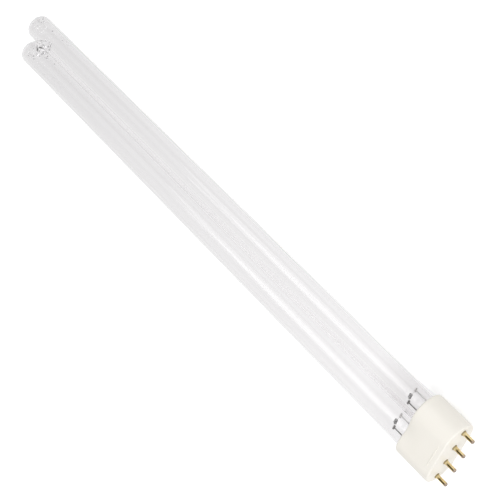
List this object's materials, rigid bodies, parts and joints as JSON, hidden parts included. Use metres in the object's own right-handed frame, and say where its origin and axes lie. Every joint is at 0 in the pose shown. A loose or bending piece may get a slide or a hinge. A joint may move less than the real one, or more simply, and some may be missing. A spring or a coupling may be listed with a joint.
{
  "type": "germicidal lamp tube",
  "caption": "Germicidal discharge lamp with parallel clear glass tubes, bridged near their domed tips and held in a waisted plastic cap with a row of hollow brass contact pins.",
  "frame": {"origin": "centre of the cap's end face, the face that the pins stand out of", "axes": "+X along the tubes, from the cap to their closed tips; +Y along the row of pins; +Z square to the cap's broad side, up as the lamp lies"},
  "size_m": [0.411, 0.042, 0.0232],
  "materials": {
    "envelope_glass": "clear, polished",
    "stem_glass": "clear, flame-worked",
    "cap_plastic": "satin ivory moulding",
    "cement": "rough",
    "pin_brass": "bright, turned",
    "lead_nickel": "dull wire",
    "lead_copper": "bright wire",
    "filament_tungsten": "dull, coated",
    "mercury": "bright liquid metal"
  },
  "bodies": {
    "root": {"glass_envelope": "envelope_glass", "stem_a": "stem_glass", "filament_a": "filament_tungsten", "basing_cement_a": "cement", "stem_b": "stem_glass", "filament_b": "filament_tungsten", "basing_cement_b": "cement", "inner_lead_1": "lead_nickel", "outer_lead_1": "lead_copper", "contact_pin_1": "pin_brass", "inner_lead_2": "lead_nickel", "outer_lead_2": "lead_copper", "contact_pin_2": "pin_brass", "inner_lead_3": "lead_nickel", "outer_lead_3": "lead_copper", "contact_pin_3": "pin_brass", "inner_lead_4": "lead_nickel", "outer_lead_4": "lead_copper", "contact_pin_4": "pin_brass", "cap_shell": "cap_plastic", "mercury_beads": "mercury"}
  },
  "joints": []
}
